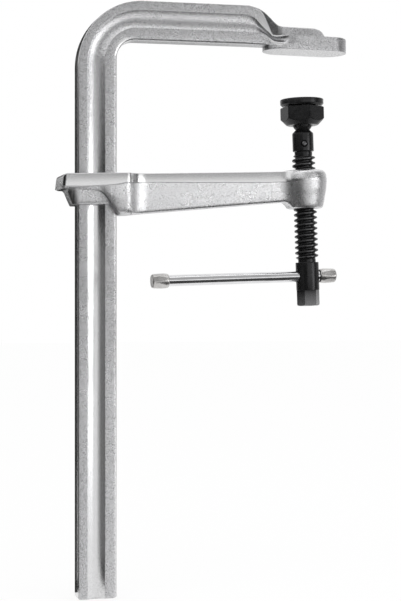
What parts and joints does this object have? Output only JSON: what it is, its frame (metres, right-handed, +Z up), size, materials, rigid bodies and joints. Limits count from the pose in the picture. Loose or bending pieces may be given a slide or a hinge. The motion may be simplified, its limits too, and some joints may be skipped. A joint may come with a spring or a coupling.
{
  "type": "screw clamp",
  "caption": "All-steel screw clamp: grooved rail bent into a fixed arm with an oval jaw, sliding arm, threaded spindle with swivelling pressure pad, sliding tommy bar.",
  "frame": {"origin": "centre of the fixed jaw's flat face", "axes": "+Z up along the rail, from its free end towards the fixed arm; +X along the arms, from the rail to the jaw; +Y across the arms"},
  "size_m": [0.2168, 0.0332, 0.4236],
  "materials": {
    "plated_forging": "bright plated forging, finely speckled",
    "black_oxide": "black oxide, satin",
    "pin_steel": "dark satin",
    "polished_rod": "polished",
    "nickel_knob": "satin nickel"
  },
  "bodies": {
    "frame": {"rail_and_fixed_arm": "plated_forging"},
    "sliding_arm": {"sliding_arm": "plated_forging"},
    "ball_head": {"ball_head": "black_oxide", "retaining_pin": "pin_steel"},
    "spindle": {"spindle": "black_oxide"},
    "tommy_bar": {"tommy_bar": "polished_rod", "tommy_knob_left": "nickel_knob", "tommy_knob_right": "nickel_knob"},
    "pad": {"ball_cup_nut": "black_oxide", "pressure_disc": "black_oxide"}
  },
  "joints": [
    {"name": "arm_slide", "type": "slide", "parent": "frame", "child": "sliding_arm", "axis": [0, 0, 1], "range_m": [-0.274, 0.0095]},
    {"name": "screw_feed", "type": "slide", "parent": "sliding_arm", "child": "ball_head", "axis": [-0.0356, 0, 0.9994], "range_m": [-0.0134, 0.02]},
    {"name": "spindle_spin", "type": "hinge", "parent": "ball_head", "child": "spindle", "pos_m": [0, 0, -0.0936], "axis": [-0.0356, 0, 0.9994], "range_deg": [-1206.1, 1800.1]},
    {"name": "tommy_slide", "type": "slide", "parent": "spindle", "child": "tommy_bar", "axis": [0.9994, 0, 0.0356], "range_m": [0, 0.0971]},
    {"name": "pad_tilt", "type": "hinge", "parent": "ball_head", "child": "pad", "pos_m": [-0.0015, 0, -0.05143], "axis": [0, 1, 0], "range_deg": [-12.2, 17.8]}
  ],
  "couplings": [
    {"joint": "spindle_spin", "follows": "screw_feed", "rad_per_m": 1570.8}
  ]
}
